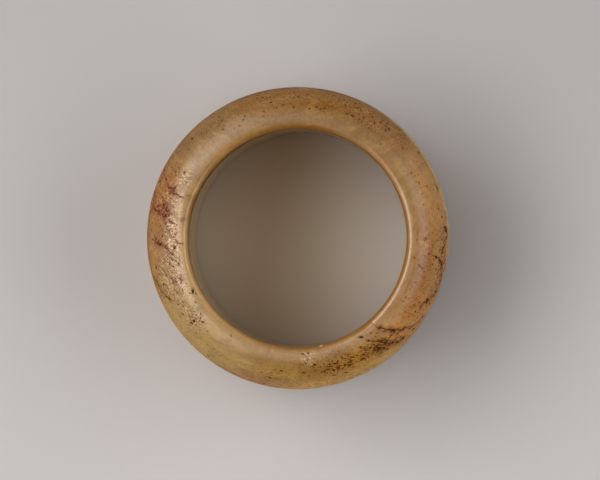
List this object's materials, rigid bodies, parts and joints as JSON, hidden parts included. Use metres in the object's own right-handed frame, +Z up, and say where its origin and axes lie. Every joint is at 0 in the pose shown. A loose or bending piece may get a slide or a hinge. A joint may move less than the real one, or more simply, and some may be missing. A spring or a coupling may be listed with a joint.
{
  "type": "archer's thumb ring",
  "caption": "Squat stone ring with a straight bore for the thumb, a rounded shoulder on top and a flat foot.",
  "frame": {"origin": "on the axis of the bore, at the level of the foot that the ring stands on", "axes": "+Z up along the bore, from the flat foot to the rounded shoulder; +X to the right in the picture, where the fissure over the shoulder lies at 311.5 degrees, anticlockwise from +X seen from above"},
  "size_m": [0.0306, 0.0306, 0.022],
  "materials": {
    "jade": "polished brown nephrite, a little translucent, with darker veins and specks"
  },
  "bodies": {
    "root": {"thumb_ring": "jade"}
  },
  "joints": []
}
